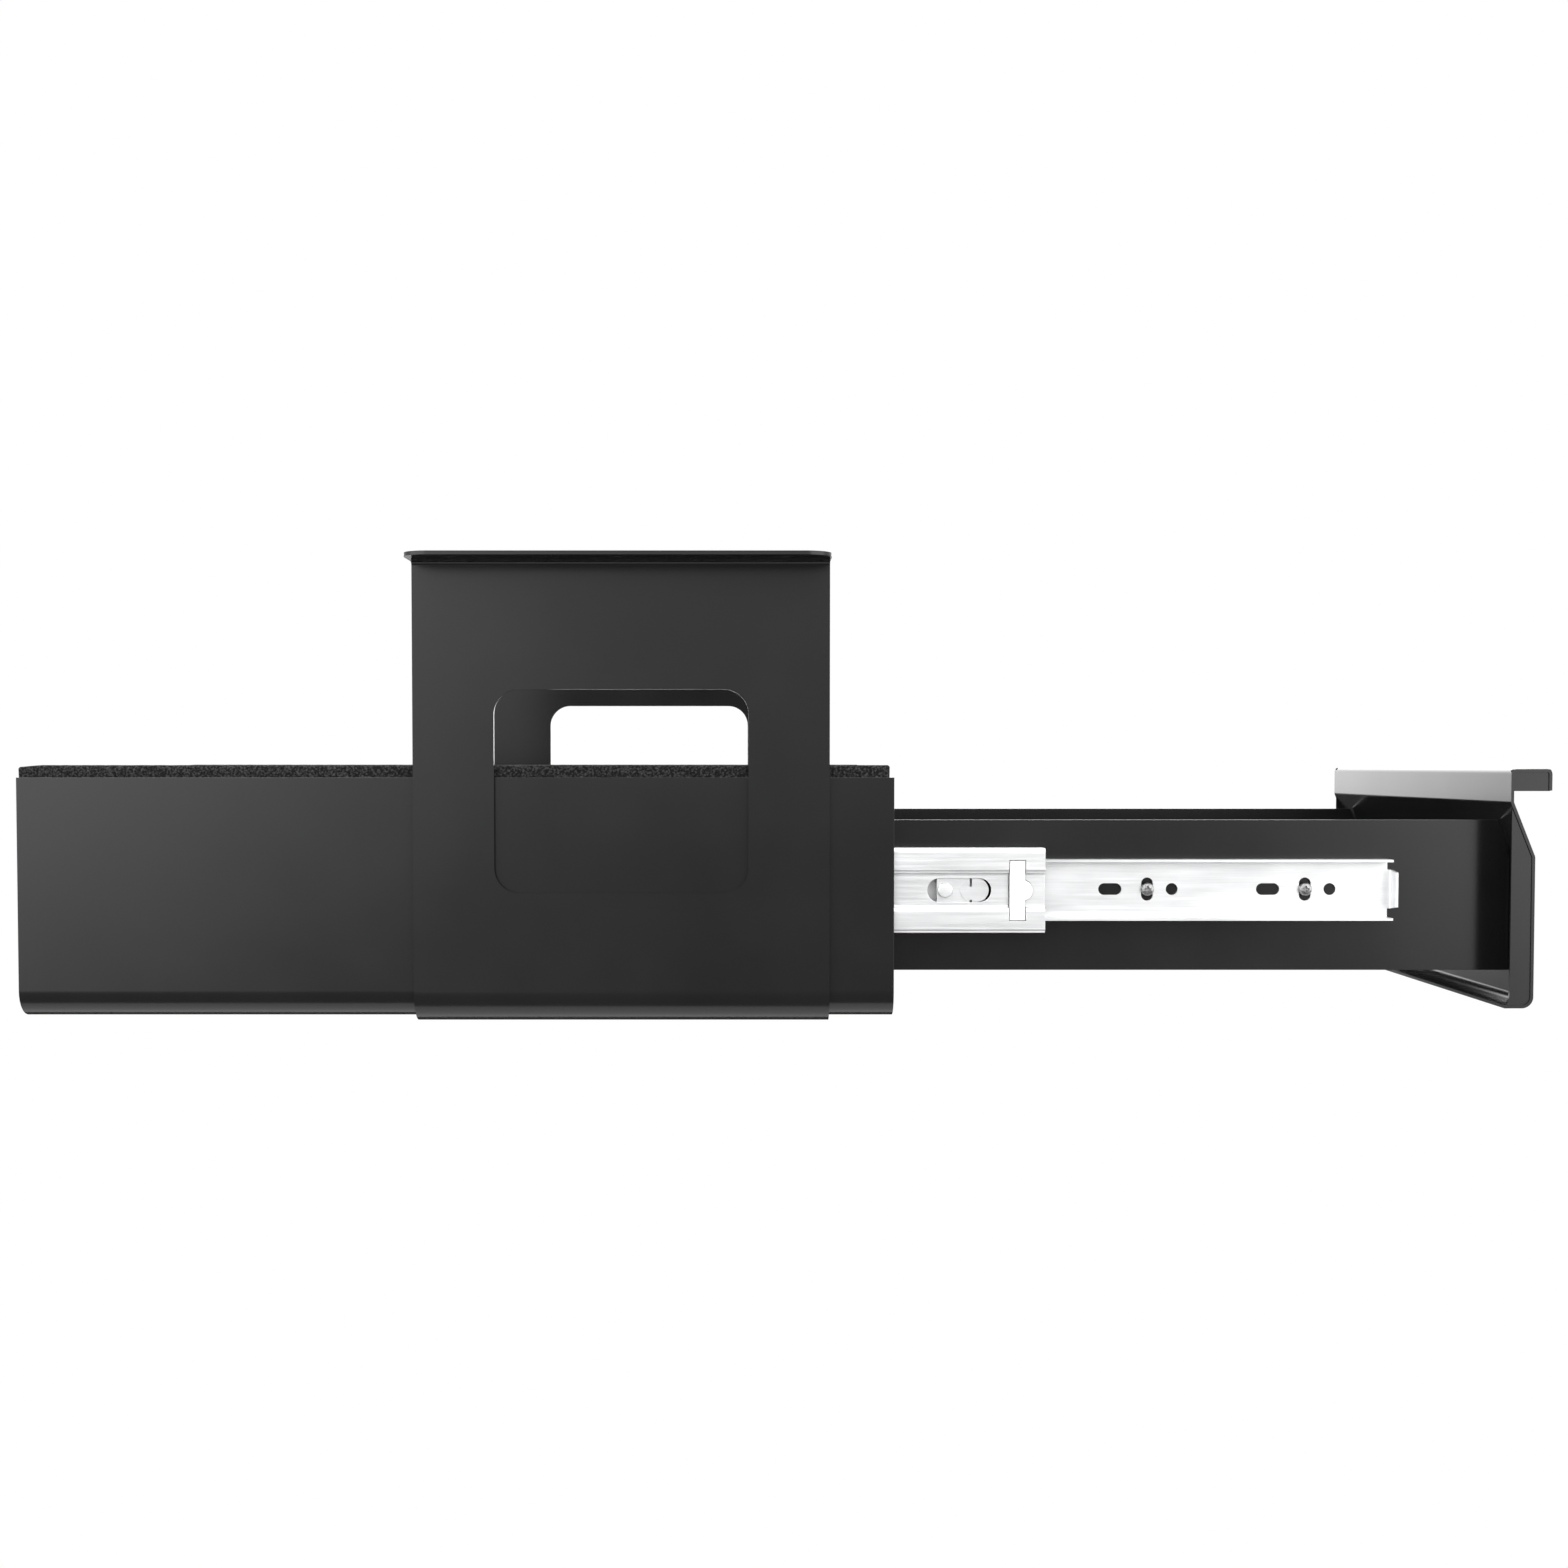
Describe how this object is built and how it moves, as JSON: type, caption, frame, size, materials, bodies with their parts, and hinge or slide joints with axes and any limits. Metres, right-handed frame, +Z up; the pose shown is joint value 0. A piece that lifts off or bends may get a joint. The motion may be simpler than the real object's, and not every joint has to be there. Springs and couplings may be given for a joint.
{
  "type": "under-desk drawer on ball-bearing slides",
  "caption": "Black sheet-steel pull-out drawer in a U housing hung under a desk, with a handle front, foam-edged walls and full-extension ball-bearing slides.",
  "frame": {"origin": "middle of the plane where the hanger's two top flanges meet the desk's underside", "axes": "+X is the way the drawer pulls out, along the slides; +Y is the user's right; +Z is up, towards the desk"},
  "size_m": [0.6146, 0.2676, 0.1888],
  "materials": {
    "black_coat": "satin black powder coat on sheet steel",
    "zinc_plate": "bright zinc plating on rolled steel",
    "white_plastic": "moulded white plastic, satin",
    "black_foam": "closed-cell black foam with a grainy skin",
    "black_rubber": "matt",
    "screw_nickel": "dark nickel-plated dome-head screws",
    "fastener_steel": "zinc-plated screws and nuts",
    "ball_steel": "bright steel strip and balls"
  },
  "bodies": {
    "hanger_and_housing": {"hanger_bracket": "black_coat", "housing": "black_coat", "foam_strip_left": "black_foam", "outer_member_left": "zinc_plate", "rear_bumper_left": "black_rubber", "foam_strip_right": "black_foam", "outer_member_right": "zinc_plate", "rear_bumper_right": "black_rubber", "hanger_screw_1": "fastener_steel", "hanger_screw_2": "fastener_steel", "hanger_screw_3": "fastener_steel", "hanger_screw_4": "fastener_steel", "hanger_nut_1": "fastener_steel", "hanger_nut_2": "fastener_steel", "hanger_nut_3": "fastener_steel", "hanger_nut_4": "fastener_steel"},
    "intermediate_left": {"intermediate_member_left": "zinc_plate", "stop_block_left": "white_plastic", "catch_plate_left": "zinc_plate", "catch_rivet_left": "zinc_plate"},
    "intermediate_right": {"intermediate_member_right": "zinc_plate", "stop_block_right": "white_plastic", "catch_plate_right": "zinc_plate", "catch_rivet_right": "zinc_plate"},
    "drawer": {"drawer_floor": "black_coat", "drawer_back": "black_coat", "front_panel": "black_coat", "drawer_side_left": "black_coat", "inner_member_left": "zinc_plate", "drawer_side_right": "black_coat", "inner_member_right": "zinc_plate", "slide_screw_1_left": "screw_nickel", "slide_screw_2_left": "screw_nickel", "slide_screw_3_left": "screw_nickel", "slide_screw_1_right": "screw_nickel", "slide_screw_2_right": "screw_nickel", "slide_screw_3_right": "screw_nickel", "front_nut_1_left": "fastener_steel", "front_nut_2_left": "fastener_steel", "front_nut_1_right": "fastener_steel", "front_nut_2_right": "fastener_steel"},
    "outer_cages_left": {"outer_ball_cage_top_left": "ball_steel", "outer_ball_cage_bottom_left": "ball_steel"},
    "outer_cages_right": {"outer_ball_cage_top_right": "ball_steel", "outer_ball_cage_bottom_right": "ball_steel"},
    "inner_cages_left": {"inner_ball_cage_top_left": "ball_steel", "inner_ball_cage_bottom_left": "ball_steel"},
    "inner_cages_right": {"inner_ball_cage_top_right": "ball_steel", "inner_ball_cage_bottom_right": "ball_steel"}
  },
  "joints": [
    {"name": "intermediate_slide_left", "type": "slide", "parent": "hanger_and_housing", "child": "intermediate_left", "axis": [1, 0, 0], "range_m": [-0.1, 0.05]},
    {"name": "intermediate_slide_right", "type": "slide", "parent": "hanger_and_housing", "child": "intermediate_right", "axis": [1, 0, 0], "range_m": [-0.1, 0.05]},
    {"name": "drawer_slide", "type": "slide", "parent": "intermediate_left", "child": "drawer", "axis": [1, 0, 0], "range_m": [-0.144, 0.008]},
    {"name": "outer_cage_slide_left", "type": "slide", "parent": "hanger_and_housing", "child": "outer_cages_left", "axis": [1, 0, 0], "range_m": [-0.05, 0.025]},
    {"name": "outer_cage_slide_right", "type": "slide", "parent": "hanger_and_housing", "child": "outer_cages_right", "axis": [1, 0, 0], "range_m": [-0.05, 0.025]},
    {"name": "inner_cage_slide_left", "type": "slide", "parent": "intermediate_left", "child": "inner_cages_left", "axis": [1, 0, 0], "range_m": [-0.072, 0.004]},
    {"name": "inner_cage_slide_right", "type": "slide", "parent": "intermediate_right", "child": "inner_cages_right", "axis": [1, 0, 0], "range_m": [-0.072, 0.004]}
  ],
  "couplings": [
    {"joint": "intermediate_slide_right", "follows": "intermediate_slide_left", "ratio": 1},
    {"joint": "outer_cage_slide_left", "follows": "intermediate_slide_left", "ratio": 0.5},
    {"joint": "outer_cage_slide_right", "follows": "intermediate_slide_left", "ratio": 0.5},
    {"joint": "inner_cage_slide_left", "follows": "drawer_slide", "ratio": 0.5},
    {"joint": "inner_cage_slide_right", "follows": "drawer_slide", "ratio": 0.5}
  ]
}
